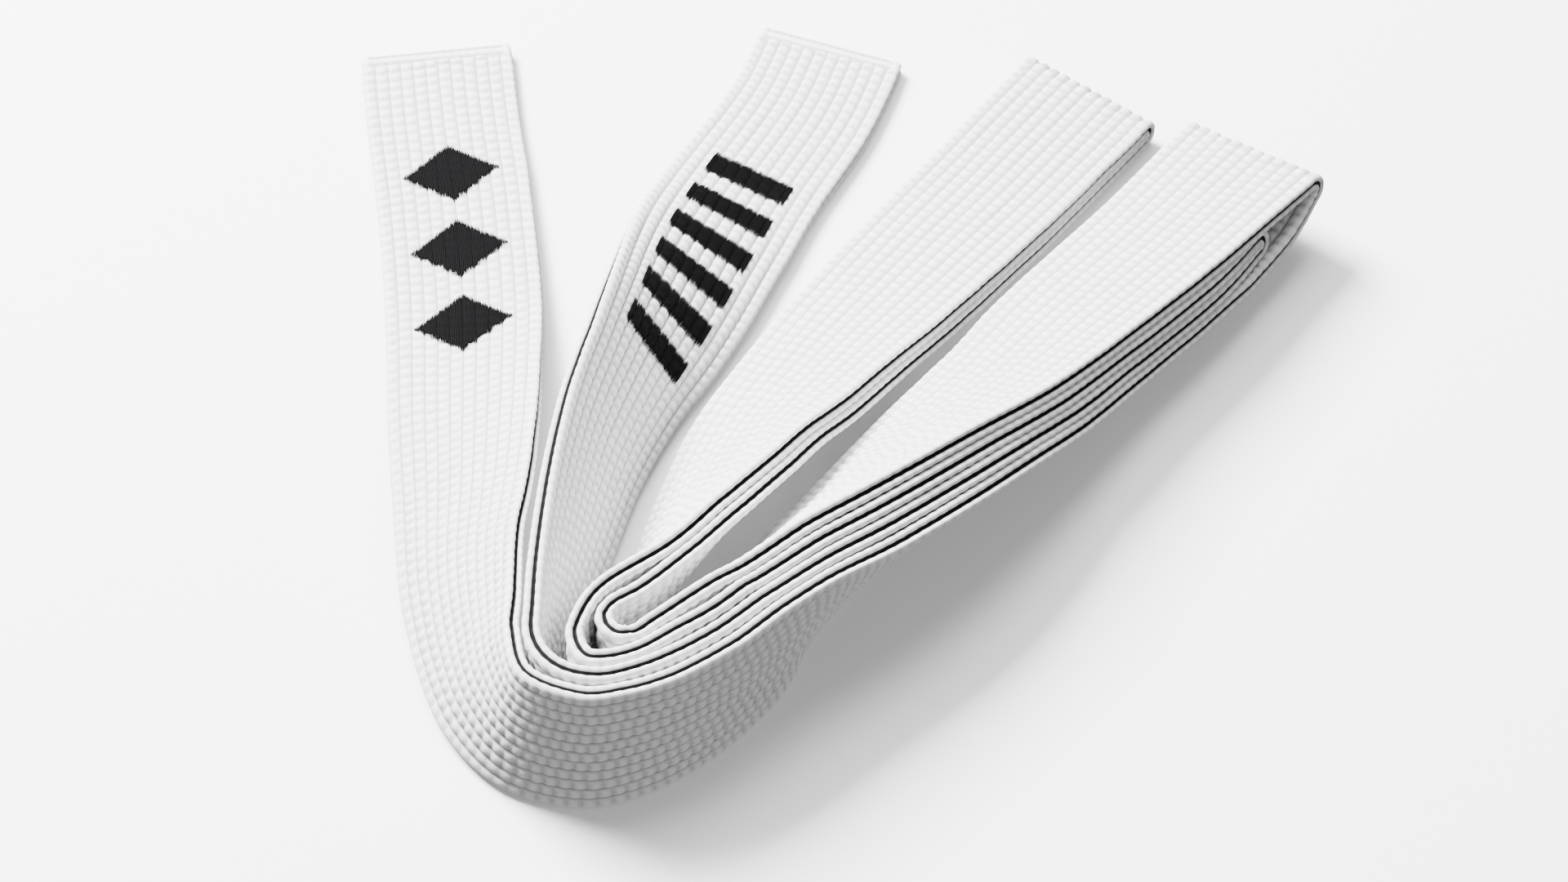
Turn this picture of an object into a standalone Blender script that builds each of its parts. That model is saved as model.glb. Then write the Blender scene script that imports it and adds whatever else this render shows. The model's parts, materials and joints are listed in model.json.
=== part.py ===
"""Martial arts belt: a padded, many times stitched cotton belt, folded into a bundle with four arms.

The belt stands on its long edge where it turns round at the near end, and each arm twists
until it lies flat at its far end. The face side is on the right when walking from tip 1 to tip 2.
"""

import math

import bmesh
import bpy
import numpy as np

MM = 0.001

# Driving dimensions, in millimetres.
WIDTH = 40.0
THICKNESS = 4.0
COVER = 1.1
LAYER_GAP = 0.3
CORE_WIDTH = 36.0
PITCH = 4.7
COLUMNS = 3
HINGE_GAP = 0.8
SEAM_BACK = 1.5
SEAM_THREAD = (0.9, 0.3)
SEAM_GAP = 0.1
HEM = 2.5
BADGE_HEIGHT = 0.4
BADGE_GAP = 0.3
LOZENGE = (20.0, 26.0)
LOZENGES_AT = (44.5, 70.5, 96.0)
BAR = (8.0, 23.0)
FIRST_BAR = 54.5
BAR_SPACING = 13.5
BARS = 6

# The routes. A row is x, y, lean and lift: the middle of the belt seen from above, in millimetres,
# how far its upper edge leans out of the vertical to the right of the direction of travel, in
# degrees, and how high its lower edge is above the floor.
ARM_1 = [
    (-93, 127, -90, 0), (-90, 104, -90, 0), (-85, 72, -88, 0), (-81, 38, -84, 0),
    (-79, 6, -73, 0), (-77.4, -21, -60, 0), (-76.6, -47, -47, 0), (-73.5, -68, -37, 0),
]
OUTER_TURN = [
    (-69.6, -83, -26, 0), (-61.5, -95.8, -14, 0), (-46, -101.2, -8, 0), (-36, -99.5, -6, 0),
    (-24.7, -94.6, -3, 0), (-11.6, -85.1, 0, 0),
]
ARM_2 = [
    (13, 129, 90, 0), (5, 107, 89, 0), (-9.6, 79, 84, 0), (-19.5, 55.4, 68, 0), (-28.8, 29.3, 47, 0),
    (-36.5, 9.2, 32, 0), (-43.9, -12.4, 24, 0), (-49.3, -36, 18, 0), (-54.2, -61, 9, 0),
]
SECOND_TURN = [
    (-56.2, -74, 4, 0), (-56.7, -82.5, 2, 0), (-54.8, -88, 0, 0), (-51, -91.4, 0, 0),
    (-46.3, -93.2, 0, 0), (-41, -93.6, 0, 0), (-35, -92.1, 0, 0), (-26.8, -88.2, 1, 0),
    (-16.4, -80.9, 4, 0.4),
]
THIRD_TURN = [
    (-43.4, -66.4, -10, 0.6), (-46.8, -74.5, -4, 0.3), (-47.6, -80.5, 0, 0), (-47, -85.2, 0, 0),
    (-44.6, -88.5, 0, 0), (-40.4, -88.8, 0, 0), (-33.8, -86.6, 1, 0), (-24.2, -79.7, 4, 0.7),
    (-16.2, -73.2, 8, 1.6),
]
INNER_TURN = [
    (-33.9, -67.8, -7, 0), (-40, -73.6, -3, 0), (-41, -77, 0, 0), (-40.2, -80.4, 0, 0),
    (-37.5, -82.4, 0, 0), (-34.2, -81.4, 1, 0), (-29.6, -77.2, 4, 0.6), (-20.6, -68.8, 9, 2.2),
]
# Arms 3 and 4 are stacks of two and four strands. A row is x and y of the upper strand, and how far
# the upper and the lower strand lean; they fan out below their upper edges, which stay together.
ARM_3 = [
    (-30.4, -52, 22, 18), (-23, -38.3, 34, 30), (-14.3, -22.2, 46, 43), (-5.8, -6.6, 56, 54),
    (3.9, 7.4, 63, 62), (14.3, 22.3, 69, 69), (25.6, 37.2, 75, 75), (39.4, 55.1, 80, 80),
    (53.5, 72.9, 84, 84), (66.8, 90.4, 87, 87), (79.2, 106.5, 89, 89),
]
ARM_4 = [
    (-13.6, -61.4, 16, 4), (-0.5, -47.9, 28, 17), (14, -35.8, 37, 26), (32.8, -18.6, 48, 40),
    (53.1, 2, 59.5, 58), (69.7, 20.8, 68, 67), (93.2, 45.8, 73, 73),
]
ARM_4_TOP_END = [(108, 63, 77, 13.4), (118.8, 75.6, 80, 13.6)]
ARM_4_BOTTOM_END = [(104.5, 53.5, 76, 0.3), (113, 64.5, 78, 3.2)]
# Where the upper strand passes over the end of the inner loop, how closely the strands are pressed
# together there, and how far the inner loop's edge is set back from theirs.
ARM_4_OVER_INNER_END = (104, 58.7, 76.5, 13.3)
PRESSED_PITCH = 4.3
INNER_SET_BACK = 1.2

# Where the belt bends at a joint, as the distance from the end of its arm or fold.
TIP_1_BEND = 57.5
TIP_2_BEND = 61.3
SHORT_LOOP_BEND = 62.0
LONG_LOOP_BEND = 78.0
SWING_AT = (-66.0, -90.0)
# Other strands pass near these places too, so each search for one is kept to a part of the belt.
SWING_LAST = 300.0
LOOP_REACH = 130.0


def unit(v):
    return v / np.linalg.norm(v, axis=-1, keepdims=True)


def smooth(rows, step=2.0):
    """Points about a step apart on a smooth curve through the rows."""
    rows = np.array(rows, float)
    ends = np.vstack([2 * rows[0] - rows[1], rows, 2 * rows[-1] - rows[-2]])
    found = []
    for a, b, c, d in zip(ends[:-3], ends[1:-2], ends[2:-1], ends[3:]):
        knots = np.cumsum([0.0] + [max(np.linalg.norm(q[:2] - p[:2]), 0.1) ** 0.5
                                   for p, q in ((a, b), (b, c), (c, d))])
        count = max(2, round(np.linalg.norm(c[:2] - b[:2]) / step))
        for t in knots[1] + (knots[2] - knots[1]) * np.arange(count) / count:
            def mix(p, q, i, j):
                return (knots[j] - t) / (knots[j] - knots[i]) * p + (t - knots[i]) / (knots[j] - knots[i]) * q
            ab, bc, cd = mix(a, b, 0, 1), mix(b, c, 1, 2), mix(c, d, 2, 3)
            found.append(mix(mix(ab, bc, 0, 2), mix(bc, cd, 1, 3), 1, 2))
    return np.array(found + [rows[-1]])


def strand(rows):
    """The middle line of a strand and the direction from its lower to its upper edge."""
    rows = smooth(rows)
    along = unit(np.gradient(rows[:, :2], axis=0))
    right = np.stack([along[:, 1], -along[:, 0], np.zeros(len(along))], axis=1)
    lean = np.radians(rows[:, 2])[:, None]
    across = np.cos(lean) * np.array([0, 0, 1.0]) + np.sin(lean) * right
    height = rows[:, 3] + WIDTH / 2 * np.cos(lean[:, 0]) + THICKNESS / 2 * np.abs(np.sin(lean[:, 0]))
    return np.column_stack([rows[:, :2], height]), across


def turned(rows):
    """The same route walked the other way, where a lean to the right is one to the left."""
    return [(x, y, -lean, lift) for x, y, lean, lift in reversed(rows)]


def stacked(rows, layer, layers):
    """One strand of a stack, counted from the lowest one, as the rows of its own route."""
    rows = np.array(rows, float)
    along = unit(np.gradient(rows[:, :2], axis=0))
    right = np.stack([along[:, 1], -along[:, 0]], axis=1)
    upper, lower = np.radians(rows[:, 2]), np.radians(rows[:, 3])
    share = layer / (layers - 1)
    lean = lower + share * (upper - lower)
    under, over = (PITCH * (layers - 1 - layer), (upper + lean) / 2), (PITCH * layer, (lower + lean) / 2)
    side = WIDTH / 2 * (np.sin(upper) - np.sin(lean)) + under[0] * np.cos(under[1])
    place = rows[:, :2] + side[:, None] * right
    rise = WIDTH * (np.cos(lower) - np.cos(lean)) + THICKNESS / 2 * (np.sin(lower) - np.sin(lean))
    lift = rise + over[0] * np.sin(over[1])
    return list(zip(place[:, 0], place[:, 1], np.degrees(lean), lift))


def fold(line_in, across_in, line_out, across_out):
    """The half turn at the far end of a loop, from the end of one strand to the start of the next."""
    start, end = line_in[-1], line_out[0]
    ahead = unit(line_in[-1] - line_in[-3] + line_out[0] - line_out[2])
    middle, arm = (start + end) / 2, (start - end) / 2
    angles = np.radians(np.arange(15, 180, 15))
    line = [middle + math.cos(a) * arm + math.sin(a) * np.linalg.norm(arm) * ahead for a in angles]
    share = np.linspace(0, 1, len(angles))[:, None]
    across = unit((1 - share) * across_in[-1] + share * across_out[0])
    return np.array(line), across


def beneath(upper_rows, distance, set_back=0.0):
    """The station at a distance under the last one of a strand, set back along the belt's width."""
    (x0, y0, _, _), (x, y, lean, lift) = upper_rows[-2:]
    ahead_x, ahead_y = unit(np.array([x - x0, y - y0], float))
    cos, sin = math.cos(math.radians(lean)), math.sin(math.radians(lean))
    side = distance * cos - set_back * sin
    return (x + side * ahead_y, y - side * ahead_x, lean, lift - distance * sin - set_back * cos)


def whole_belt():
    """The belt's line from tip 1 to tip 2, its width direction, and where its folds are."""
    lowest, low, high, highest = [stacked(ARM_4, layer, 4) for layer in range(4)]
    below, above = [stacked(ARM_3, layer, 2) for layer in range(2)]
    over = [highest[-1], ARM_4_OVER_INNER_END]
    high, low = (rows + [beneath(over, layers * PRESSED_PITCH, INNER_SET_BACK)]
                 for rows, layers in ((high, 1), (low, 2)))
    outer = strand(ARM_1 + OUTER_TURN + lowest + ARM_4_BOTTOM_END + [beneath(ARM_4_TOP_END, PITCH)])
    inner = strand(turned(highest + ARM_4_TOP_END) + turned(INNER_TURN) + below)
    second = strand(turned(above) + THIRD_TURN + high)
    third = strand(turned(low) + turned(SECOND_TURN) + turned(ARM_2))
    lines, acrosses, folds = [outer[0]], [outer[1]], []
    for before, after in ((outer, inner), (inner, second), (second, third)):
        line, across = fold(*before, *after)
        folds.append(sum(map(len, lines)) + len(line) // 2)
        lines += [line, after[0]]
        acrosses += [across, after[1]]
    line, across = np.vstack(lines), np.vstack(acrosses)
    travelled = np.concatenate([[0], np.cumsum(np.linalg.norm(np.diff(line, axis=0), axis=1))])
    return line, across, travelled, [travelled[i] for i in folds]


def centre_of_base(line, face, up_edge):
    """The middle of the belt's bounding box seen from above, at the height of its lowest point."""
    corners = np.vstack([line + a * WIDTH / 2 * up_edge + b * THICKNESS / 2 * face
                         for a in (-1, 1) for b in (-1, 1)])
    low, high = corners.min(axis=0), corners.max(axis=0)
    return np.array([(low[0] + high[0]) / 2, (low[1] + high[1]) / 2, low[2]])


LINE, ACROSS, TRAVELLED, FOLDS = whole_belt()
LENGTH = TRAVELLED[-1]
AHEAD = unit(np.gradient(LINE, TRAVELLED, axis=0))
FACE = unit(np.cross(AHEAD, ACROSS))
UP_EDGE = unit(np.cross(FACE, AHEAD))


def nearest(place, first, last):
    """The distance from tip 1 at which the belt passes nearest a place, between two distances."""
    inside = (TRAVELLED > first) & (TRAVELLED < last)
    away = np.hypot(*(LINE[:, :2] - place[:2]).T)
    return TRAVELLED[np.where(inside, away, np.inf).argmin()]


SWING = nearest(SWING_AT, 0, SWING_LAST)
LINE = LINE - centre_of_base(LINE, FACE, UP_EDGE)


def at(distance):
    """The middle, the face direction and the upper edge's direction at a distance from tip 1."""
    middle, face, up_edge = ([np.interp(distance, TRAVELLED, a[:, k]) for k in range(3)]
                             for a in (LINE, FACE, UP_EDGE))
    return np.array(middle), unit(np.array(face)), unit(np.array(up_edge))


def stops(first, last, turn=14.0, twist=6.0, most=13.0):
    """Distances between two ends, closer together where the belt bends or twists."""
    marks, kept = np.linspace(first, last, 2 + round(last - first)), [first]
    ahead, up_edge = ([np.array([np.interp(m, TRAVELLED, a[:, k]) for k in range(3)]) for m in marks]
                      for a in (AHEAD, UP_EDGE))
    used = 0.0
    for i in range(1, len(marks) - 1):
        used += angle(ahead[i - 1], ahead[i]) / turn + angle(up_edge[i - 1], up_edge[i]) / twist
        if used >= 1 or marks[i] - kept[-1] >= most:
            kept.append(marks[i])
            used = 0.0
    return kept + [last]


def angle(a, b):
    return math.degrees(math.atan2(np.linalg.norm(np.cross(a, b)), a @ b))


def material(name, colour, roughness):
    made = bpy.data.materials.new(name)
    made.use_nodes = True
    shader = made.node_tree.nodes["Principled BSDF"]
    shader.inputs["Base Color"].default_value = (*colour, 1)
    shader.inputs["Roughness"].default_value = roughness
    shader.inputs["Metallic"].default_value = 0
    return made


COTTON = material("white_cotton", (0.88, 0.87, 0.84), 0.9)
PADDING = material("cotton_padding", (0.82, 0.79, 0.72), 0.95)
THREAD = material("white_thread", (0.92, 0.92, 0.9), 0.7)
BLACK_THREAD = material("black_thread", (0.02, 0.02, 0.022), 0.55)


def add_object(name, mesh_builder, finish, origin=(0, 0, 0)):
    """An object whose mesh is built in world millimetres, with its own origin."""
    shape = bmesh.new()
    mesh_builder(shape)
    for vertex in shape.verts:
        vertex.co = (np.array(vertex.co) - origin) * MM
    mesh = bpy.data.meshes.new(name)
    shape.to_mesh(mesh)
    shape.free()
    mesh.materials.append(finish)
    made = bpy.data.objects.new(name, mesh)
    made.location = np.array(origin, float) * MM
    bpy.context.scene.collection.objects.link(made)
    return made


def sweep(shape, marks, low, high, width):
    """A strip between two depths, low and high towards the face, along the belt."""
    sides = np.linspace(-width / 2, width / 2, COLUMNS + 1)
    corners = [(side, low) for side in sides] + [(side, high) for side in sides[::-1]]
    rings = []
    for mark in marks:
        middle, face, up_edge = at(mark)
        rings.append([shape.verts.new(middle + side * up_edge + depth * face) for side, depth in corners])
    count = len(corners)
    for a, b in zip(rings[:-1], rings[1:]):
        for i in range(count):
            j = (i + 1) % count
            if i < COLUMNS:
                halves = ((a[i], a[j], b[j]), (a[i], b[j], b[i]))
            else:
                halves = ((a[i], a[j], b[i]), (a[j], b[j], b[i]))
            for half in halves:
                shape.faces.new(half)
    for ring, order in ((rings[0], -1), (rings[-1], 1)):
        for i in range(COLUMNS):
            shape.faces.new([ring[i], ring[i + 1], ring[count - 2 - i], ring[count - 1 - i]][::order])


def layer_strips(name, first, last, origin=(0, 0, 0)):
    """The face cover, the back cover and the core of one stretch of the belt."""
    marks = stops(first, last)
    half = THICKNESS / 2
    inner = half - COVER
    layers = (
        ("face_cover", inner, half, WIDTH, COTTON),
        ("back_cover", -half, -inner, WIDTH, COTTON),
        ("core", -inner + LAYER_GAP, inner - LAYER_GAP, CORE_WIDTH, PADDING),
    )
    for layer, low, high, width, finish in layers:
        add_object(f"{layer}_{name}", lambda s: sweep(s, marks, low, high, width), finish, origin)


def end_seam(name, mark, origin):
    """The row of stitches across the belt that closes the hem of a tip."""
    low = THICKNESS / 2 + SEAM_GAP
    marks = (mark - SEAM_THREAD[0] / 2, mark + SEAM_THREAD[0] / 2)
    add_object(name, lambda s: sweep(s, marks, low, low + SEAM_THREAD[1], WIDTH - 2 * HEM), THREAD, origin)


def lozenge(shape, mark):
    """An embroidered diamond on the face of the belt."""
    along, across = LOZENGE[0] / 2, LOZENGE[1] / 2
    low = THICKNESS / 2 + BADGE_GAP
    outline = ((along, 0), (0, across), (-along, 0), (0, -across))
    rows = []
    for depth in (low, low + BADGE_HEIGHT):
        places = [(at(mark + a), b) for a, b in outline]
        rows.append([shape.verts.new(middle + b * up_edge + depth * face)
                     for (middle, face, up_edge), b in places])
    for i in range(len(outline)):
        j = (i + 1) % len(outline)
        shape.faces.new((rows[0][i], rows[0][j], rows[1][j], rows[1][i]))
    shape.faces.new(rows[0][::-1])
    shape.faces.new(rows[1])


def bar(shape, mark):
    """An embroidered bar across the face of the belt."""
    low = THICKNESS / 2 + BADGE_GAP
    marks = np.linspace(mark - BAR[0] / 2, mark + BAR[0] / 2, 4)
    sweep(shape, marks, low, low + BADGE_HEIGHT, BAR[1])


def bend_point(distance, side):
    """A point on the belt's upward facing surface, where a joint's axis runs across the belt."""
    middle, face, _ = at(distance)
    return middle + side * THICKNESS / 2 * face


def clear_scene():
    for leftover in list(bpy.data.objects):
        bpy.data.objects.remove(leftover)


clear_scene()

LONG_FOLD, SHORT_FOLD, BOTTOM_FOLD = FOLDS
TIP_2_START = LENGTH - TIP_2_BEND
LONG_TOP_BEND = LONG_FOLD + LONG_LOOP_BEND
SHORT_TOP_BEND = SHORT_FOLD + SHORT_LOOP_BEND
LONG_TOP = at(LONG_TOP_BEND)[0]
LONG_BOTTOM_BEND = nearest(LONG_TOP, LONG_FOLD - LOOP_REACH, LONG_FOLD)
SHORT_BOTTOM_BEND = nearest(at(SHORT_TOP_BEND)[0], SHORT_FOLD - LOOP_REACH, SHORT_FOLD)
SECOND_BEND = nearest(LONG_TOP, BOTTOM_FOLD - LOOP_REACH, BOTTOM_FOLD)
THIRD_BEND = nearest(LONG_TOP, BOTTOM_FOLD, BOTTOM_FOLD + LOOP_REACH)

TIP_1_AXIS = bend_point(TIP_1_BEND, 1)
TIP_2_AXIS = bend_point(TIP_2_START, 1)
SHORT_AXIS = bend_point(SHORT_TOP_BEND, 1)
LONG_AXIS = bend_point(LONG_TOP_BEND, 1)
SWING_MIDDLE, SWING_FACE, SWING_UP = at(SWING)
SWING_AXIS = SWING_MIDDLE + THICKNESS / 2 * SWING_FACE - WIDTH / 2 * SWING_UP

HALF = HINGE_GAP / 2
STRETCHES = [
    ("tip_1", 0, TIP_1_BEND - HALF, TIP_1_AXIS),
    ("arm_1", TIP_1_BEND + HALF, SWING - HALF, SWING_AXIS),
    ("outer_run", SWING + HALF, LONG_BOTTOM_BEND - HALF, (0, 0, 0)),
    ("long_loop_outer", LONG_BOTTOM_BEND + HALF, LONG_TOP_BEND - HALF, LONG_AXIS),
    ("inner_run", LONG_TOP_BEND + HALF, SHORT_BOTTOM_BEND - HALF, (0, 0, 0)),
    ("short_loop", SHORT_BOTTOM_BEND + HALF, SHORT_TOP_BEND - HALF, SHORT_AXIS),
    ("second_run", SHORT_TOP_BEND + HALF, SECOND_BEND - HALF, (0, 0, 0)),
    ("long_loop_inner", SECOND_BEND + HALF, THIRD_BEND - HALF, LONG_AXIS),
    ("third_run", THIRD_BEND + HALF, TIP_2_START - HALF, (0, 0, 0)),
    ("tip_2", TIP_2_START + HALF, LENGTH, TIP_2_AXIS),
]
for name, first, last, origin in STRETCHES:
    layer_strips(name, first, last, origin)

end_seam("end_seam_1", SEAM_BACK, TIP_1_AXIS)
end_seam("end_seam_2", LENGTH - SEAM_BACK, TIP_2_AXIS)
for i, mark in enumerate(LOZENGES_AT):
    add_object(f"lozenge_{i + 1}", lambda s: lozenge(s, mark), BLACK_THREAD,
               TIP_1_AXIS if mark < TIP_1_BEND else SWING_AXIS)
for i in range(BARS):
    mark = LENGTH - FIRST_BAR - i * BAR_SPACING
    add_object(f"bar_{i + 1}", lambda s: bar(s, mark), BLACK_THREAD,
               TIP_2_AXIS if mark > TIP_2_START else (0, 0, 0))
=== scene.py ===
"""Looks of the folded martial arts belt: stitched cotton with rounded ribs, hemmed tips and black embroidery.

The belt is one long strip that follows the routes of the CAD model. It is made in pieces that
meet face to face, so that each piece crosses at most one joint. Distances are in millimetres
until a mesh is made.
"""

import json
import math

import bpy
import numpy as np
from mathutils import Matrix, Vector


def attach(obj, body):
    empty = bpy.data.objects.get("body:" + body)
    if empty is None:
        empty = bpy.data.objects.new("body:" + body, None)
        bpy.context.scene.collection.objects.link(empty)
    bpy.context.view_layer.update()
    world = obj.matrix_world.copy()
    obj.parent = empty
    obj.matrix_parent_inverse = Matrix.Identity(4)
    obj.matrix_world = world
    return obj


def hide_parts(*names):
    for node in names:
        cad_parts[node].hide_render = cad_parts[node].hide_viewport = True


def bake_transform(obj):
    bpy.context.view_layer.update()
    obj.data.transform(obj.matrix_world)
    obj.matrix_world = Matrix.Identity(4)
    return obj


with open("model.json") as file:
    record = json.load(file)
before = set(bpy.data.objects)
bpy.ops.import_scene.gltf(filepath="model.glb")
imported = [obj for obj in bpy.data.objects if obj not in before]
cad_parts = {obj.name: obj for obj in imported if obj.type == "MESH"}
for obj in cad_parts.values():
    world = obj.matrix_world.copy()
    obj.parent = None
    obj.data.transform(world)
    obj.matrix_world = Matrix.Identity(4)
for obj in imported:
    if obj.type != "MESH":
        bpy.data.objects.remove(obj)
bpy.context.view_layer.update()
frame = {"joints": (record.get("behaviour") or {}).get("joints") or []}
MM = 0.001

# The belt's section. The modelled strap stands a little proud of the CAD one.
WIDTH = 40.0
CAD_THICKNESS = 4.0
THICKNESS = 4.5
PITCH = 4.7
PRESSED_PITCH = 4.3
RIBS = 12
RIB = WIDTH / RIBS
SEAM_DEPTH = 1.3
SEAM_FILL = SEAM_DEPTH * 0.6
SEAM_GAP = 0.22
RIB_POINTS = 8
BEAD_POINTS = 9
BEAD_FROM, BEAD_TO = -55, 90

# Rings along the belt: the usual step, the least one, and their places near a tip.
RING_STEP = 0.6
LEAST_STEP = 0.2
TIP_RINGS = [0.12, 0.35, 0.7, *np.arange(1.1, 6.5, 0.3)]
TIP_ZONE = 6.4

# Relief: stitch rows between the ribs, and the creases that the stitches pull into each rib.
GROOVE = 0.95
FOLD_GROOVE = 0.35
SHARP_BEND = (0.05, 0.3)
ROW_SHARE = 0.14
ROW_FLOOR = 0.25
STITCH = 3.0
STITCH_HOLE = 0.3
CREASE = 0.5
CREASE_BOW = 0.55
BEAD_CREASE = 0.55
BEAD_PUSH = 0.5
UNEVEN = 0.05
INSIDE_ROOM = 0.93

# Tips: a flat hem with two stitch rows, blunt ends and round corners.
HEM_SEAM = 1.7
HEM_BAND = 4.0
HEM_START, HEM_END = HEM_BAND - 0.4, HEM_BAND + 1.2
HEM_DEPTH = 0.22
HEM_GROOVE = 0.32
FLAT_RIB = (0.45, 0.9)
BLUNT_RADIUS = 1.5
BLUNT_LEAST = math.sqrt(0.03)
CORNER_RADIUS = 2.2

# Embroidery and sewing thread.
LOZENGE_LENGTH = 20.0
LOZENGE_WIDTH = 26.0
LOZENGES_AT = (44.5, 70.5, 96.0)
BAR_LENGTH = 8.0
BAR_WIDTH = 23.0
FIRST_BAR = 54.5
BAR_SPACING = 13.5
BARS = 6
SATIN = 0.42
SATIN_SPACING = SATIN * 0.8
SATIN_RISE = 0.16
SATIN_FOLLOW = 0.5
SHORTEST_HALF = 0.35
HEM_THREAD = 0.34
HEM_THREAD_RISE = 0.04
HEM_STITCH = 1.7
HEM_STITCH_SPACING = 2.2
HEM_STITCH_FROM, HEM_STITCH_TO = -WIDTH / 2 + 2.6, WIDTH / 2 - 3.2
THREAD_SIDES = 6
THREAD_STEP = 0.9
THREAD_SLACK = 0.6

# The routes, as the CAD model has them: x, y, lean in degrees and lift.
ARM_1 = [
    (-93, 127, -90, 0), (-90, 104, -90, 0), (-85, 72, -88, 0), (-81, 38, -84, 0),
    (-79, 6, -73, 0), (-77.4, -21, -60, 0), (-76.6, -47, -47, 0), (-73.5, -68, -37, 0),
]
OUTER_TURN = [
    (-69.6, -83, -26, 0), (-61.5, -95.8, -14, 0), (-46, -101.2, -8, 0), (-36, -99.5, -6, 0),
    (-24.7, -94.6, -3, 0), (-11.6, -85.1, 0, 0),
]
ARM_2 = [
    (13, 129, 90, 0), (5, 107, 89, 0), (-9.6, 79, 84, 0), (-19.5, 55.4, 68, 0), (-28.8, 29.3, 47, 0),
    (-36.5, 9.2, 32, 0), (-43.9, -12.4, 24, 0), (-49.3, -36, 18, 0), (-54.2, -61, 9, 0),
]
SECOND_TURN = [
    (-56.2, -74, 4, 0), (-56.7, -82.5, 2, 0), (-54.8, -88, 0, 0), (-51, -91.4, 0, 0),
    (-46.3, -93.2, 0, 0), (-41, -93.6, 0, 0), (-35, -92.1, 0, 0), (-26.8, -88.2, 1, 0),
    (-16.4, -80.9, 4, 0.4),
]
THIRD_TURN = [
    (-43.4, -66.4, -10, 0.6), (-46.8, -74.5, -4, 0.3), (-47.6, -80.5, 0, 0), (-47, -85.2, 0, 0),
    (-44.6, -88.5, 0, 0), (-40.4, -88.8, 0, 0), (-33.8, -86.6, 1, 0), (-24.2, -79.7, 4, 0.7),
    (-16.2, -73.2, 8, 1.6),
]
INNER_TURN = [
    (-33.9, -67.8, -7, 0), (-40, -73.6, -3, 0), (-41, -77, 0, 0), (-40.2, -80.4, 0, 0),
    (-37.5, -82.4, 0, 0), (-34.2, -81.4, 1, 0), (-29.6, -77.2, 4, 0.6), (-20.6, -68.8, 9, 2.2),
]
# A row of a stack of strands is x and y of the upper strand, and the upper and the lower lean.
ARM_3 = [
    (-30.4, -52, 22, 18), (-23, -38.3, 34, 30), (-14.3, -22.2, 46, 43), (-5.8, -6.6, 56, 54),
    (3.9, 7.4, 63, 62), (14.3, 22.3, 69, 69), (25.6, 37.2, 75, 75), (39.4, 55.1, 80, 80),
    (53.5, 72.9, 84, 84), (66.8, 90.4, 87, 87), (79.2, 106.5, 89, 89),
]
ARM_4 = [
    (-13.6, -61.4, 16, 4), (-0.5, -47.9, 28, 17), (14, -35.8, 37, 26), (32.8, -18.6, 48, 40),
    (53.1, 2, 59.5, 58), (69.7, 20.8, 68, 67), (93.2, 45.8, 73, 73),
]
# The ends of arm 4's strands, nested round one another at the loop.
ARM_4_TOP_END = [(108, 63, 77, 13.4), (118.8, 75.6, 80, 13.6)]
ARM_4_BOTTOM_END = [(104.5, 53.5, 76, 0.3), (113, 64.5, 78, 3.2)]
ARM_4_OVER_INNER_END = (104, 58.7, 76.5, 13.3)
INNER_SET_BACK = 1.2
CAD_STEP = 2.0
FINE_STEP = 0.6
FOLD_ANGLES = np.radians(np.arange(15, 180, 15))


def unit(v):
    return v / np.linalg.norm(v, axis=-1, keepdims=True)


def smooth(rows, step):
    """Points about a step apart on a smooth curve through the rows."""
    rows = np.array(rows, float)
    ends = np.vstack([2 * rows[0] - rows[1], rows, 2 * rows[-1] - rows[-2]])
    found = []
    for a, b, c, d in zip(ends[:-3], ends[1:-2], ends[2:-1], ends[3:]):
        knots = np.cumsum([0.0] + [max(np.linalg.norm(q[:2] - p[:2]), 0.1) ** 0.5
                                   for p, q in ((a, b), (b, c), (c, d))])
        count = max(2, round(np.linalg.norm(c[:2] - b[:2]) / step))
        for t in knots[1] + (knots[2] - knots[1]) * np.arange(count) / count:
            def mix(p, q, i, j):
                share = (t - knots[i]) / (knots[j] - knots[i])
                return (1 - share) * p + share * q
            ab, bc, cd = mix(a, b, 0, 1), mix(b, c, 1, 2), mix(c, d, 2, 3)
            found.append(mix(mix(ab, bc, 0, 2), mix(bc, cd, 1, 3), 1, 2))
    return np.array(found + [rows[-1]])


def strand(rows, step):
    """The middle line of a strand and the direction from its lower to its upper edge."""
    rows = smooth(rows, step)
    along = unit(np.gradient(rows[:, :2], axis=0))
    right = np.stack([along[:, 1], -along[:, 0], np.zeros(len(along))], axis=1)
    lean = np.radians(rows[:, 2])[:, None]
    across = np.cos(lean) * np.array([0, 0, 1.0]) + np.sin(lean) * right
    height = rows[:, 3] + WIDTH / 2 * np.cos(lean[:, 0]) + CAD_THICKNESS / 2 * np.abs(np.sin(lean[:, 0]))
    return np.column_stack([rows[:, :2], height]), across


def turned(rows):
    """The same route walked the other way, where a lean to the right is one to the left."""
    return [(x, y, -lean, lift) for x, y, lean, lift in reversed(rows)]


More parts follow.
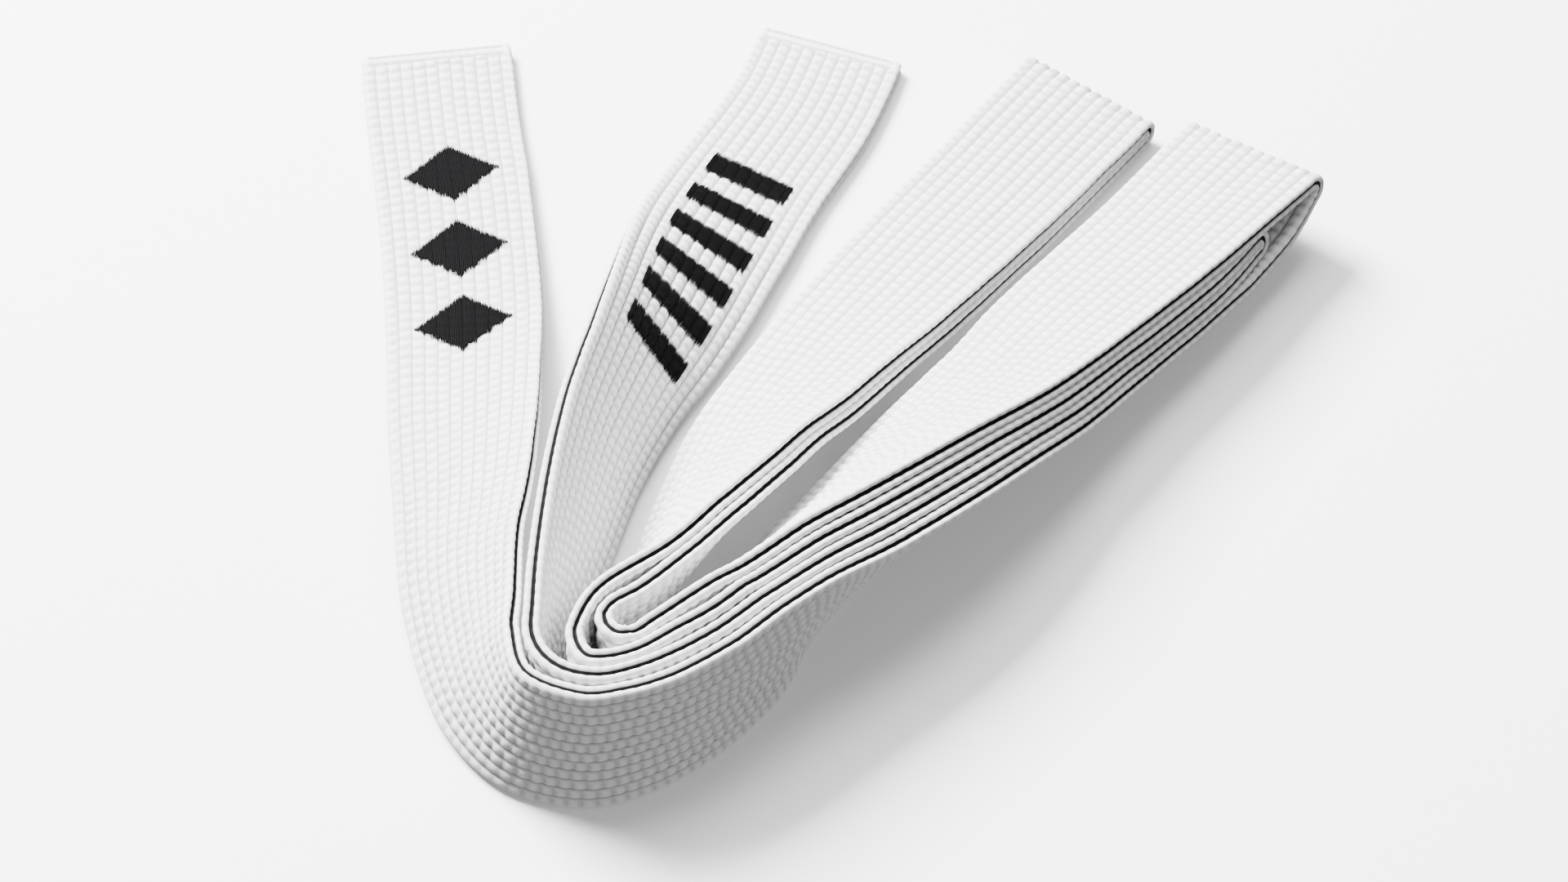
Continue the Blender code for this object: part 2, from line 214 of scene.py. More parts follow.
def stacked(rows, layer, layers):
    """One strand of a stack, counted from the lowest one, as the rows of its own route."""
    rows = np.array(rows, float)
    along = unit(np.gradient(rows[:, :2], axis=0))
    right = np.stack([along[:, 1], -along[:, 0]], axis=1)
    upper, lower = np.radians(rows[:, 2]), np.radians(rows[:, 3])
    share = layer / (layers - 1)
    lean = lower + share * (upper - lower)
    under, over = (PITCH * (layers - 1 - layer), (upper + lean) / 2), (PITCH * layer, (lower + lean) / 2)
    side = WIDTH / 2 * (np.sin(upper) - np.sin(lean)) + under[0] * np.cos(under[1])
    place = rows[:, :2] + side[:, None] * right
    rise = WIDTH * (np.cos(lower) - np.cos(lean)) + CAD_THICKNESS / 2 * (np.sin(lower) - np.sin(lean))
    lift = rise + over[0] * np.sin(over[1])
    return list(zip(place[:, 0], place[:, 1], np.degrees(lean), lift))


def fold(line_in, across_in, line_out, across_out):
    """The half turn at the far end of a loop, from the end of one strand to the start of the next."""
    start, end = line_in[-1], line_out[0]
    ahead = unit(line_in[-1] - line_in[-3] + line_out[0] - line_out[2])
    middle, arm = (start + end) / 2, (start - end) / 2
    line = [middle + math.cos(a) * arm + math.sin(a) * np.linalg.norm(arm) * ahead for a in FOLD_ANGLES]
    share = np.linspace(0, 1, len(FOLD_ANGLES))[:, None]
    return np.array(line), unit((1 - share) * across_in[-1] + share * across_out[0])


def beneath(upper_rows, distance, set_back=0.0):
    """The station at a distance under the last one of a strand, set back along the belt's width."""
    (x0, y0, _, _), (x, y, lean, lift) = upper_rows[-2:]
    ahead_x, ahead_y = unit(np.array([x - x0, y - y0], float))
    cos, sin = math.cos(math.radians(lean)), math.sin(math.radians(lean))
    side = distance * cos - set_back * sin
    return (x + side * ahead_y, y - side * ahead_x, lean, lift - distance * sin - set_back * cos)


def whole_belt(step):
    """The belt's line from tip 1 to tip 2, its width direction, and where its folds are."""
    lowest, low, high, highest = [stacked(ARM_4, layer, 4) for layer in range(4)]
    below, above = [stacked(ARM_3, layer, 2) for layer in range(2)]
    over = [highest[-1], ARM_4_OVER_INNER_END]
    high, low = (rows + [beneath(over, layers * PRESSED_PITCH, INNER_SET_BACK)]
                 for rows, layers in ((high, 1), (low, 2)))
    routes = (
        ARM_1 + OUTER_TURN + lowest + ARM_4_BOTTOM_END + [beneath(ARM_4_TOP_END, PITCH)],
        turned(highest + ARM_4_TOP_END) + turned(INNER_TURN) + below,
        turned(above) + THIRD_TURN + high,
        turned(low) + turned(SECOND_TURN) + turned(ARM_2),
    )
    strands = [strand(route, step) for route in routes]
    lines, acrosses, folds = [strands[0][0]], [strands[0][1]], []
    for before, after in zip(strands[:-1], strands[1:]):
        line, across = fold(*before, *after)
        folds.append(sum(map(len, lines)) + len(line) // 2)
        lines += [line, after[0]]
        acrosses += [across, after[1]]
    line, across = np.vstack(lines), np.vstack(acrosses)
    travelled = np.concatenate([[0], np.cumsum(np.linalg.norm(np.diff(line, axis=0), axis=1))])
    return line, across, travelled, [travelled[i] for i in folds]


def directions(line, across, travelled):
    """Unit vectors along the belt, out of its face side and towards its upper edge."""
    ahead = unit(np.gradient(line, travelled, axis=0))
    face = unit(np.cross(ahead, across))
    return ahead, face, unit(np.cross(face, ahead))


def centre_of_base(line, face, up_edge):
    """The middle of the CAD belt's box seen from above, at the height of its lowest point."""
    corners = np.vstack([line + a * WIDTH / 2 * up_edge + b * CAD_THICKNESS / 2 * face
                         for a in (-1, 1) for b in (-1, 1)])
    low, high = corners.min(axis=0), corners.max(axis=0)
    return np.array([(low[0] + high[0]) / 2, (low[1] + high[1]) / 2, low[2]])


coarse_line, coarse_across, coarse_travelled, _ = whole_belt(CAD_STEP)
_, coarse_face, coarse_up_edge = directions(coarse_line, coarse_across, coarse_travelled)
ORIGIN = centre_of_base(coarse_line, coarse_face, coarse_up_edge)
LINE, ACROSS, TRAVELLED, (LONG_FOLD, SHORT_FOLD, BOTTOM_FOLD) = whole_belt(FINE_STEP)
AHEAD, FACE, UP_EDGE = directions(LINE, ACROSS, TRAVELLED)
LINE = LINE - ORIGIN
LENGTH = TRAVELLED[-1]
# How sharply the belt bends towards its face side, per millimetre.
BEND = np.einsum("ij,ij->i", np.gradient(AHEAD, TRAVELLED, axis=0), FACE)
BEND = np.convolve(BEND, np.ones(5) / 5, mode="same")


def belt_values(values, marks):
    """Vectors of the belt at distances from tip 1."""
    return np.stack([np.interp(marks, TRAVELLED, values[:, k]) for k in range(3)], axis=1)


def at(marks):
    """The middle, the face direction and the upper edge's direction at distances from tip 1."""
    return belt_values(LINE, marks), unit(belt_values(FACE, marks)), unit(belt_values(UP_EDGE, marks))


def nearest(place, first, last):
    """The distance from tip 1 at which the belt passes nearest a place, between two distances."""
    away = np.linalg.norm(LINE - place, axis=1)
    away[(TRAVELLED < first) | (TRAVELLED > last)] = np.inf
    return TRAVELLED[away.argmin()]


def ease(x, low, high):
    """0 up to low, 1 from high, and a smooth step between."""
    t = np.clip((x - low) / (high - low), 0, 1)
    return t * t * (3 - 2 * t)


def wander(seed, spacing, marks):
    """A smooth random curve along the belt, from -1 to 1, the same for each piece."""
    random = np.random.default_rng(int(seed))
    knots = np.arange(-2 * spacing, LENGTH + 3 * spacing, spacing)
    values = random.uniform(-1, 1, len(knots))
    place = np.clip((marks - knots[0]) / spacing, 0, len(knots) - 1.001)
    i = place.astype(int)
    share = ease(place - i, 0, 1)
    return values[i] * (1 - share) + values[i + 1] * share


def half_section():
    """The section's points from the lower edge's seam over the face to the upper edge's seam.

    Each is: distance across, depth, rib, place on that rib from 0 to 1, and whether it is on the
    rolled edge's bead and in its seam.
    """
    crest = WIDTH / 2 - RIB / 2
    high = THICKNESS / 2
    radius, centre = (high - SEAM_GAP) / 2, (high + SEAM_GAP) / 2
    angles = np.radians(np.linspace(BEAD_FROM, BEAD_TO, BEAD_POINTS))
    lobe = [(RIB / 2 * math.cos(a), centre + radius * math.sin(a)) for a in angles[:-1]]
    lower = [(-crest - out, depth, 0, 0.5, 1, n == 0) for n, (out, depth) in enumerate(lobe)]
    places = 0.5 + np.arange((RIBS - 1) * RIB_POINTS + 1) / RIB_POINTS
    flat = [(-WIDTH / 2 + place * RIB, high, int(place), place % 1, 0, 0) for place in places]
    upper = [(-v, depth, RIBS - 1, 0.5, 1, seam) for v, depth, _, _, _, seam in reversed(lower)]
    return [tuple(map(float, point)) for point in lower + flat + upper]


SEAM_V = WIDTH / 2 - SEAM_DEPTH
HALF = half_section()
SECTION = np.array(
    [(-SEAM_V, 0, 0, 0.5, 0, 1)] + HALF + [(SEAM_V, 0, RIBS - 1, 0.5, 0, 1)]
    + [(v, -w, rib, place, bead, seam) for v, w, rib, place, bead, seam in HALF[::-1]])
POINTS = len(SECTION)
FACE_POINTS = len(HALF)
SIDE = np.where(np.arange(POINTS) > FACE_POINTS + 1, -1.0, 1.0)
ROUND = np.concatenate([[0], np.cumsum(np.hypot(*np.diff(SECTION[:, :2], axis=0).T))])


def tip_distance(marks):
    return np.minimum(marks, LENGTH - marks)


def crease(marks, rib, side, place, power=2.0):
    """0 between stitches and 1 at one, along a rib, whose creases curve like crescents."""
    random = np.random.default_rng(int(100 + 20 * side + rib))
    start, stretch = random.uniform(0, STITCH), random.uniform(0.97, 1.03)
    drift = 0.5 * wander(300 + 20 * side + rib, 25.0, marks)
    bow = CREASE_BOW * (1 - (2 * place - 1) ** 2)
    turn = 2 * math.pi * ((marks + drift) * stretch + start - bow) / STITCH
    return (0.5 + 0.5 * np.cos(turn)) ** power


def relief(marks, index):
    """How far the surface lies under the section's outline at one point of the section.

    Also how much of a stitch row and of a crease is there, as masks for the shade the material paints into
    them.
    """
    _, _, rib, place, bead, _ = SECTION[index]
    side = SIDE[index]
    tip = tip_distance(marks)
    ribbed = ease(tip, HEM_START, HEM_END)
    stitched = crease(marks, rib, side, place)
    pull = CREASE * stitched * (0.75 + 0.45 * wander(500 + rib + 30 * side, 9.0, marks))
    creased = stitched * ribbed
    uneven = UNEVEN * wander(700 + rib, 14.0, marks)
    if bead:
        return BEAD_CREASE * pull + uneven, 0 * marks, BEAD_CREASE * creased
    flat = 1.0
    if rib in (0, RIBS - 1):
        flat = ease(place if rib == 0 else 1 - place, *FLAT_RIB)
    round_rib = math.sqrt(max(0.0, 1 - (2 * place - 1) ** 2))
    row = max(0.0, 1 - min(place, 1 - place) / ROW_SHARE)
    bend = np.abs(np.interp(marks, TRAVELLED, BEND))
    deepest = GROOVE + FOLD_GROOVE * ease(bend, *SHARP_BEND)
    depth = deepest * (1 - round_rib) * (1 - row * ROW_FLOOR) * (1 - (1 - ribbed) * flat)
    depth = depth + pull * round_rib * ribbed + uneven
    holes = crease(marks, rib if place < 0.5 else rib + 1, side, 0.0, 5.0)
    depth = depth + STITCH_HOLE * row * holes * ribbed
    seams = np.exp(-((tip - HEM_SEAM) / 0.35) ** 2) + 0.8 * np.exp(-((tip - HEM_BAND) / 0.4) ** 2)
    depth = depth + flat * ((1 - ribbed) * HEM_DEPTH + seams * HEM_GROOVE)
    return depth, np.maximum(row * ribbed, np.clip(seams, 0, 1) * flat), creased * round_rib


def rounded(distance, radius):
    """0 at a rounded end and 1 from its radius on, along a quarter circle."""
    return np.sqrt(1 - (1 - np.clip(distance / radius, 0, 1)) ** 2)


def surface(marks):
    """The belt's points at each of the marks, with what its material needs to know there."""
    middle, face, up_edge = at(marks)
    tip = tip_distance(marks)
    bend = np.interp(marks, TRAVELLED, BEND)
    room = INSIDE_ROOM / np.maximum(np.abs(bend), 1e-6)
    blunt = np.maximum(rounded(tip, BLUNT_RADIUS), BLUNT_LEAST)
    narrow = 1 - CORNER_RADIUS * (1 - rounded(tip, CORNER_RADIUS)) / (WIDTH / 2)
    edges = [0.14 * wander(seed, 11.0, marks) + 0.05 * wander(seed + 1, 3.1, marks) for seed in (41, 43)]
    places = np.empty((len(marks), POINTS, 3))
    notes = np.empty((len(marks), POINTS, 5))
    for j, (v, w, _, _, bead, seam) in enumerate(SECTION):
        side, outer = SIDE[j], math.copysign(1, v)
        depth, groove, creased = relief(marks, j)
        if bead:
            outward = unit(np.array([v - outer * (WIDTH / 2 - RIB / 2), w - side * THICKNESS / 4]))
            across, deep = v - outward[0] * BEAD_PUSH * depth, w - outward[1] * BEAD_PUSH * depth
        elif seam:
            across, deep = v, 0 * marks
        else:
            across, deep = v, w - side * depth
        across = (across + outer * edges[int(v > 0)] * abs(v / WIDTH * 2) ** 6) * narrow
        if seam and not bead:
            across = across + outer * SEAM_FILL * (1 - blunt)
        squeezed = (np.sign(bend) * side > 0) & (np.abs(deep) > room)
        deep = np.where(squeezed, np.sign(deep) * room, deep) * blunt
        places[:, j] = middle + across[:, None] * up_edge + deep[:, None] * face
        notes[:, j] = np.stack([marks, ROUND[j] + 0 * marks, groove, creased, seam + 0 * marks], axis=1)
    return places, notes


def make_object(name, points, faces, finish, smooth_shade=True):
    """A mesh object from points in millimetres and faces of corner numbers."""
    mesh = bpy.data.meshes.new(name)
    mesh.from_pydata((np.asarray(points) * MM).tolist(), [], [tuple(f) for f in faces])
    mesh.polygons.foreach_set("use_smooth", np.full(len(mesh.polygons), smooth_shade))
    mesh.materials.append(finish)
    made = bpy.data.objects.new(name, mesh)
    bpy.context.scene.collection.objects.link(made)
    return made


def note(mesh, name, values):
    """A number at each point, which the materials read."""
    made = mesh.attributes.new(name, "FLOAT", "POINT")
    made.data.foreach_set("value", np.ascontiguousarray(values, np.float32))


def ring_marks(first, last):
    """Distances of the rings of one piece, closer together near a tip."""
    steps = np.arange(math.ceil(first / RING_STEP), math.floor(last / RING_STEP) + 1) * RING_STEP
    marks = [first] + [m for m in steps if first + LEAST_STEP < m < last - LEAST_STEP] + [last]
    for tip, sign in ((0.0, 1), (LENGTH, -1)):
        if first <= tip <= last:
            marks = [m for m in marks if abs(m - tip) > TIP_ZONE or m == tip]
            marks += [tip + sign * away for away in TIP_RINGS]
    return np.array(sorted(marks))


def cap(base, order):
    """Faces that close the belt at the ring whose first point is base, without bridging its seams."""
    over = list(range(base, base + FACE_POINTS + 2))
    under = [base] + [base + POINTS - n for n in range(1, FACE_POINTS + 1)] + [over[-1]]
    first_rib, last_rib = BEAD_POINTS, FACE_POINTS + 1 - BEAD_POINTS
    faces = []
    for seam, beads in ((over[0], range(1, first_rib)), (over[-1], range(last_rib, FACE_POINTS))):
        for n in beads:
            faces.append([seam, over[n], over[n + 1]])
            faces.append([seam, under[n + 1], under[n]])
    faces.append([over[0], over[first_rib], under[first_rib]])
    faces.append([over[last_rib], over[-1], under[last_rib]])
    for n in range(first_rib, last_rib):
        faces.append([over[n], over[n + 1], under[n + 1], under[n]])
    return [face[::order] for face in faces]


def belt_piece(name, first, last):
    """One stretch of the belt as a closed mesh."""
    marks = ring_marks(first, last)
    places, notes = surface(marks)
    rings = len(marks)
    i, j = np.meshgrid(np.arange(rings - 1), np.arange(POINTS), indexing="ij")
    k = (j + 1) % POINTS
    sides = np.stack([i * POINTS + j, (i + 1) * POINTS + j, (i + 1) * POINTS + k, i * POINTS + k], axis=-1)
    faces = sides.reshape(-1, 4).tolist()
    first_cap = len(faces)
    faces += cap(0, 1) + cap((rings - 1) * POINTS, -1)
    made = make_object(name, places.reshape(-1, 3), faces, COTTON)
    # The groove, crease and seam attributes are masks for the shade painted into stitch rows, creases and
    # seam notches.
    for column, label in enumerate(("belt_along", "belt_round", "belt_groove_shade", "belt_crease_shade", "belt_seam_shade")):
        note(made.data, label, notes[:, :, column].ravel())
    mark_caps(made.data, first_cap)
    return made


def mark_caps(mesh, first_cap):
    """Keeps the cut ends flat, and the shading of the sides free of them."""
    mesh.polygons.foreach_set("use_smooth", np.arange(len(mesh.polygons)) < first_cap)
    cut = {key for polygon in mesh.polygons[first_cap:] for key in polygon.edge_keys}
    sharp = mesh.attributes.get("sharp_edge") or mesh.attributes.new("sharp_edge", "BOOLEAN", "EDGE")
    sharp.data.foreach_set("value", np.array([tuple(sorted(edge.vertices)) in cut for edge in mesh.edges]))


# Materials ---------------------------------------------------------------------------------------
class Nodes:
    """Short ways to build a node material."""

    def __init__(self, name):
        self.material = bpy.data.materials.new(name)
        self.material.use_nodes = True
        self.tree = self.material.node_tree
        self.shader = self.tree.nodes["Principled BSDF"]

    def add(self, kind, inputs=None, **settings):
        node = self.tree.nodes.new(kind)
        for key, value in settings.items():
            setattr(node, key, value)
        for key, value in (inputs or {}).items():
            if isinstance(value, bpy.types.NodeSocket):
                self.tree.links.new(value, node.inputs[key])
            else:
                node.inputs[key].default_value = value
        return node

    def math(self, operation, a, b=0.0, clamp=False):
        return self.add("ShaderNodeMath", {0: a, 1: b}, operation=operation, use_clamp=clamp).outputs[0]

    def attribute(self, name):
        return self.add("ShaderNodeAttribute", attribute_name=name).outputs["Fac"]

    def join(self, x, y, z=0.0):
        return self.add("ShaderNodeCombineXYZ", {0: x, 1: y, 2: z}).outputs[0]

    def noise(self, vector, scale, detail):
        return self.add("ShaderNodeTexNoise", {"Vector": vector, "Scale": scale, "Detail": detail}).outputs[0]

    def mix(self, share, a, b):
        made = self.add("ShaderNodeMix", data_type="RGBA")
        for socket, value in (("Factor_Float", share), ("A_Color", a), ("B_Color", b)):
            target = next(s for s in made.inputs if s.identifier == socket)
            if isinstance(value, bpy.types.NodeSocket):
                self.tree.links.new(value, target)
            else:
                target.default_value = value
        return next(s for s in made.outputs if s.identifier == "Result_Color")

    def bump(self, height, strength, distance):
        made = self.add("ShaderNodeBump", {"Height": height, "Strength": strength, "Distance": distance})
        self.link(made.outputs[0], "Normal")

    def link(self, output, name):
        self.tree.links.new(output, self.shader.inputs[name])


# Cotton colours, the shade painted into stitch rows, creases and seam notches, and the share of it each
# takes.
COTTON_DARK, COTTON_LIGHT = (0.64, 0.64, 0.635, 1), (0.88, 0.88, 0.875, 1)
ROW_PAINTED_SHADE, ROW_SHADE = (0.10, 0.10, 0.10, 1), 0.7
CREASE_PAINTED_SHADE, CREASE_SHADE = (0.16, 0.16, 0.16, 1), 0.5
SEAM_PAINTED_SHADE, SEAM_SHADE = (0.0015, 0.0015, 0.0015, 1), 0.99
CLOUD_SHADE, FIBRE_SHADE = 0.10, 0.16
TWILL_HEIGHT, FIBRE_HEIGHT = 0.45, 0.9
THREAD_SHADE = 0.72


def cotton():
    """Bleached cotton twill: fine diagonal threads, soft fibres, and painted shade in the stitch rows,
    creases and seam notches.
    """
    n = Nodes("cotton_twill")
    place = n.join(n.attribute("belt_along"), n.attribute("belt_round"))
    groove, creased, seam = (n.attribute(name) for name in ("belt_groove_shade", "belt_crease_shade", "belt_seam_shade"))
    twill = n.add("ShaderNodeTexWave", {"Vector": place, "Scale": 0.62, "Distortion": 1.6, "Detail": 2.0,
                                        "Detail Scale": 1.5}, bands_direction="DIAGONAL").outputs[1]
    fibre = n.noise(place, 3.2, 4.0)
    cloud = n.noise(place, 0.09, 2.0)
    shade = n.math("MULTIPLY", n.math("SUBTRACT", cloud, 0.5), CLOUD_SHADE)
    shade = n.math("ADD", shade, n.math("MULTIPLY", n.math("SUBTRACT", fibre, 0.5), FIBRE_SHADE))
    colour = n.mix(n.math("ADD", shade, 0.5, clamp=True), COTTON_DARK, COTTON_LIGHT)
    # Painted shade: stitch rows and hem seams, then creases, then seam notches are darkened in colour where
    # shade falls on them.
    colour = n.mix(n.math("MULTIPLY", groove, ROW_SHADE), colour, ROW_PAINTED_SHADE)
    colour = n.mix(n.math("MULTIPLY", creased, CREASE_SHADE), colour, CREASE_PAINTED_SHADE)
    colour = n.mix(n.math("MULTIPLY", seam, SEAM_SHADE), colour, SEAM_PAINTED_SHADE)
    n.link(colour, "Base Color")
    n.shader.inputs["Roughness"].default_value = 0.88
    n.shader.inputs["Specular IOR Level"].default_value = 0.05
    height = n.math("ADD", n.math("MULTIPLY", twill, TWILL_HEIGHT), n.math("MULTIPLY", fibre, FIBRE_HEIGHT))
    n.bump(height, 0.35, 0.00012)
    return n.material


def thread(name, colour, roughness, gloss):
    """Sewing or embroidery thread: fine twist along each stitch."""
    n = Nodes(name)
    place = n.join(n.attribute("belt_along"), n.attribute("belt_round"))
    twist = n.noise(place, 4.0, 3.0)
    darker = tuple(c * THREAD_SHADE for c in colour)
    n.link(n.mix(twist, (*darker, 1), (*colour, 1)), "Base Color")
    n.shader.inputs["Roughness"].default_value = roughness
    n.shader.inputs["Specular IOR Level"].default_value = gloss
    n.bump(twist, 0.4, 0.0001)
    return n.material


COTTON = cotton()
BLACK_THREAD = thread("black_satin_thread", (0.003, 0.003, 0.0033), 0.5, 0.02)
WHITE_THREAD = thread("white_sewing_thread", (0.90, 0.90, 0.89), 0.6, 0.1)


# The belt's pieces ---------------------------------------------------------------------------------
JOINTS = {joint["name"]: joint for joint in frame["joints"]}


def joint_place(name):
    return np.array(JOINTS[name]["pos_m"]) / MM


# Where each joint's bend crosses each strand. The reaches only keep other strands out.
TIP_REACH = 120
ARM_1_REACH = (150, 300)
LOOP_REACH = 130
TIP_1_BEND = nearest(joint_place("tip_1_lift"), 0, TIP_REACH)
SWING = nearest(joint_place("arm_1_swing"), *ARM_1_REACH)
TIP_2_BEND = nearest(joint_place("tip_2_lift"), LENGTH - TIP_REACH, LENGTH)
LONG_TOP = nearest(joint_place("long_loop_lift"), LONG_FOLD, LONG_FOLD + LOOP_REACH)
SHORT_TOP = nearest(joint_place("short_loop_lift"), SHORT_FOLD, SHORT_FOLD + LOOP_REACH)
LONG_MIDDLE, SHORT_MIDDLE = at([LONG_TOP, SHORT_TOP])[0]
LONG_BOTTOM = nearest(LONG_MIDDLE, LONG_FOLD - LOOP_REACH, LONG_FOLD)
SHORT_BOTTOM = nearest(SHORT_MIDDLE, SHORT_FOLD - LOOP_REACH, SHORT_FOLD)
SECOND_BEND = nearest(LONG_MIDDLE, BOTTOM_FOLD - LOOP_REACH, BOTTOM_FOLD)
THIRD_BEND = nearest(LONG_MIDDLE, BOTTOM_FOLD, BOTTOM_FOLD + LOOP_REACH)


def covers(*stretches):
    return [f"{layer}_{stretch}" for stretch in stretches for layer in ("face_cover", "back_cover", "core")]


# Name, first and last distance, the bodies it joins in order, the bend between them, how far on
# each side of it the belt bends, and the CAD stretches it stands for.
PIECES = [
    ("belt_tip_1", 0, 128, ("tip_1", "arm_1"), TIP_1_BEND, 9, ("tip_1", "arm_1")),
    ("belt_arm_1", 128, 285, ("arm_1", "bundle"), SWING, 14, ("arm_1", "outer_run")),
    ("belt_outer_run", 285, LONG_FOLD, ("bundle", "long_loop"), LONG_BOTTOM, 12,
     ("outer_run", "long_loop_outer")),
    ("belt_top_run", LONG_FOLD, 650, ("long_loop", "bundle"), LONG_TOP, 12, ("long_loop_outer", "inner_run")),
    ("belt_inner_turn", 650, 805, ("bundle",), None, 0, ("inner_run",)),
    ("belt_arm_3_lower", 805, SHORT_FOLD, ("bundle", "short_loop"), SHORT_BOTTOM, 10,
     ("inner_run", "short_loop")),
    ("belt_arm_3_upper", SHORT_FOLD, 1095, ("short_loop", "bundle"), SHORT_TOP, 10,
     ("short_loop", "second_run")),
    ("belt_second_turn", 1095, 1275, ("bundle",), None, 0, ("second_run",)),
    ("belt_high_run", 1275, BOTTOM_FOLD, ("bundle", "long_loop"), SECOND_BEND, 12,
     ("second_run", "long_loop_inner")),
    ("belt_low_run", BOTTOM_FOLD, 1560, ("long_loop", "bundle"), THIRD_BEND, 12,
     ("long_loop_inner", "third_run")),
    ("belt_third_turn", 1560, 1715, ("bundle",), None, 0, ("third_run",)),
    ("belt_tip_2", 1715, LENGTH, ("bundle", "tip_2"), TIP_2_BEND, 9, ("third_run", "tip_2")),
]
for name, first, last, bodies, bend_at, reach, stretches in PIECES:
    piece = belt_piece(name, first, last)
    if bend_at is None:
        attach(piece, bodies[0])
    else:
        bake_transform(piece)
    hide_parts(*covers(*stretches))


# Embroidery and sewing thread ----------------------------------------------------------------------
FACE_V = SECTION[1:FACE_POINTS + 1, 0]


def thread_heights(marks, across, follow):
    """The heights at which thread lies on the face side, which follow a share of its relief."""
    nearby = [int(np.abs(FACE_V - v).argmin()) + 1 for v in across]
    depths = [relief(marks[k:k + 1], index)[0][0] for k, index in enumerate(nearby)]
    return THICKNESS / 2 - follow * np.array(depths)


def stitches(name, threads, thickness, finish, rise, follow):
    """A closed half-round stitch for each thread: from, to (distance and across), all in one mesh."""
    points, faces, alongs, rounds = [], [], [], []
    for count, (m0, v0, m1, v1) in enumerate(threads):
        steps = max(4, round(math.hypot(m1 - m0, v1 - v0) / THREAD_STEP) + 1)
        share = np.linspace(0, 1, steps)
        marks, across = m0 + share * (m1 - m0), v0 + share * (v1 - v0)
        heights = thread_heights(marks, across, follow)
        pulled = np.minimum(heights, np.interp(share, (0, 1), heights[[0, -1]]) + THREAD_SLACK)
        middle, face, up_edge = at(marks)
        middle = middle + across[:, None] * up_edge
        sideways = unit(np.cross(face, np.gradient(middle, axis=0)))
        taper = np.clip(np.minimum(share, 1 - share) * (steps - 1) / 1.5, 0.25, 1)
        base = len(points)
        for k in range(steps):
            centre = middle[k] + (pulled[k] + rise * taper[k]) * face[k]
            for side in range(THREAD_SIDES):
                a = 2 * math.pi * side / THREAD_SIDES
                points.append(centre + thickness / 2 * taper[k] * math.cos(a) * sideways[k]
                              + thickness * 0.45 * taper[k] * math.sin(a) * face[k])
                alongs.append(marks[k])
                rounds.append(across[k] + count)
        for k in range(steps - 1):
            for side in range(THREAD_SIDES):
                after = (side + 1) % THREAD_SIDES
                a, b = base + k * THREAD_SIDES, base + (k + 1) * THREAD_SIDES
                faces.append((a + side, a + after, b + after, b + side))
        last = base + (steps - 1) * THREAD_SIDES
        faces.append(range(base, base + THREAD_SIDES)[::-1])
        faces.append(range(last, last + THREAD_SIDES))
    made = make_object(name, points, faces, finish)
    note(made.data, "belt_along", alongs)
    note(made.data, "belt_round", rounds)
    return made


def satin_rows(mark, length_at, width, seed):
    """Satin stitches side by side across a mark, each as long as the outline is there."""
    random = np.random.default_rng(seed)
    rows = []
    for v in np.arange(-width / 2 + SATIN / 2, width / 2, SATIN_SPACING):
        half = length_at(v) / 2
        if half < SHORTEST_HALF:
            continue
        ends = half + random.uniform(-0.28, 0.28, 2)
        lean = random.uniform(-0.06, 0.06)
        rows.append((mark - ends[0], v - lean, mark + ends[1], v + lean))
    return rows


def lozenge_length(v):
    return LOZENGE_LENGTH * (1 - abs(v) / (LOZENGE_WIDTH / 2))


def bar_length(_):
    return BAR_LENGTH


for i, mark in enumerate(LOZENGES_AT):
    rows = satin_rows(mark, lozenge_length, LOZENGE_WIDTH, 60 + i)
    piece = stitches(f"embroidered_lozenge_{i + 1}", rows, SATIN, BLACK_THREAD, SATIN_RISE, SATIN_FOLLOW)
    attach(piece, "tip_1" if mark < TIP_1_BEND else "arm_1")
    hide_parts(f"lozenge_{i + 1}")
for i in range(BARS):
    mark = LENGTH - FIRST_BAR - i * BAR_SPACING
    rows = satin_rows(mark, bar_length, BAR_WIDTH, 80 + i)
    piece = stitches(f"embroidered_bar_{i + 1}", rows, SATIN, BLACK_THREAD, SATIN_RISE, SATIN_FOLLOW)
    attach(piece, "tip_2" if mark > TIP_2_BEND else "bundle")
    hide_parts(f"bar_{i + 1}")
for number, ends, body in ((1, (HEM_SEAM, HEM_BAND), "tip_1"),
                           (2, (LENGTH - HEM_SEAM, LENGTH - HEM_BAND), "tip_2")):
    rows = [(mark, v, mark, v + HEM_STITCH) for mark in ends
            for v in np.arange(HEM_STITCH_FROM, HEM_STITCH_TO, HEM_STITCH_SPACING)]
    piece = stitches(f"hem_stitches_{number}", rows, HEM_THREAD, WHITE_THREAD, HEM_THREAD_RISE, 1)
    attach(piece, body)
    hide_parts(f"end_seam_{number}")


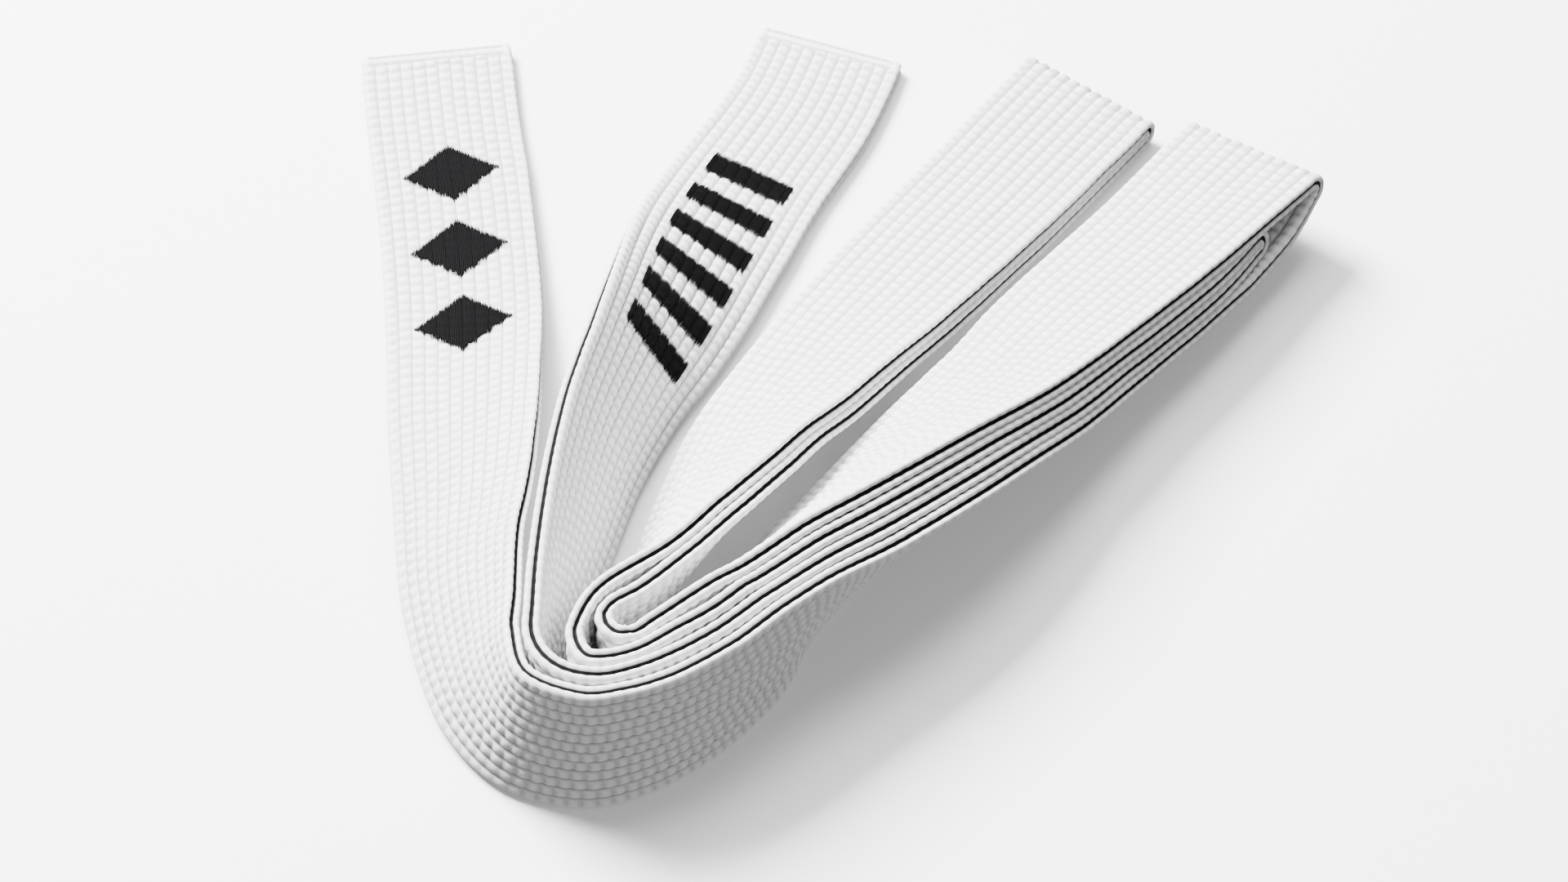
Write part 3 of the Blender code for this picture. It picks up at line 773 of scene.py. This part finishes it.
# Floor, light and camera -----------------------------------------------------------------------------
def plain(name, colour, roughness):
    n = Nodes(name)
    n.shader.inputs["Base Color"].default_value = (*colour, 1)
    n.shader.inputs["Roughness"].default_value = roughness
    n.shader.inputs["Specular IOR Level"].default_value = 0.1
    return n.material


FLOOR_HALF = 4000
floor_corners = [(x * FLOOR_HALF, y * FLOOR_HALF, 0) for x, y in ((-1, -1), (1, -1), (1, 1), (-1, 1))]
FLOOR = plain("pale_floor", (0.95, 0.95, 0.95), 0.95)
floor = make_object("floor", floor_corners, [(0, 1, 2, 3)], FLOOR, smooth_shade=False)
# The floor's own bounce would light the walls that stand in the shade.
floor.visible_diffuse = False

world = bpy.data.worlds.new("studio")
bpy.context.scene.world = world
world.use_nodes = True
sky = world.node_tree.nodes["Background"]
sky.inputs["Color"].default_value = (1, 1, 1, 1)
sky.inputs["Strength"].default_value = 0.55


LIT_PLACE = Vector((0, 0, 0.02))


def lamp(name, place, size, power):
    """A square soft box that points at the belt. Places are in metres."""
    data = bpy.data.lights.new(name, "AREA")
    data.shape = "SQUARE"
    data.size = size
    data.energy = power
    made = bpy.data.objects.new(name, data)
    made.location = place
    made.rotation_euler = (LIT_PLACE - Vector(place)).to_track_quat("-Z", "Y").to_euler()
    bpy.context.scene.collection.objects.link(made)


lamp("key", (-0.85, 0.85, 1.3), 0.75, 250)
lamp("top", (0.0, 0.7, 1.7), 0.9, 40)

# The camera looks down at the routes' own origin.
ELEVATION = 54
DISTANCE = 0.95
LENS = 87.8
SENSOR = 36
aim = Vector((-ORIGIN * MM).tolist())
tilt = math.radians(ELEVATION)
camera_data = bpy.data.cameras.new("camera")
camera_data.sensor_width = SENSOR
camera_data.lens = LENS
camera = bpy.data.objects.new("camera", camera_data)
camera.location = aim + Vector((0, -math.cos(tilt) * DISTANCE, math.sin(tilt) * DISTANCE))
camera.rotation_euler = (math.radians(90 - ELEVATION), 0, 0)
bpy.context.scene.collection.objects.link(camera)
bpy.context.scene.camera = camera
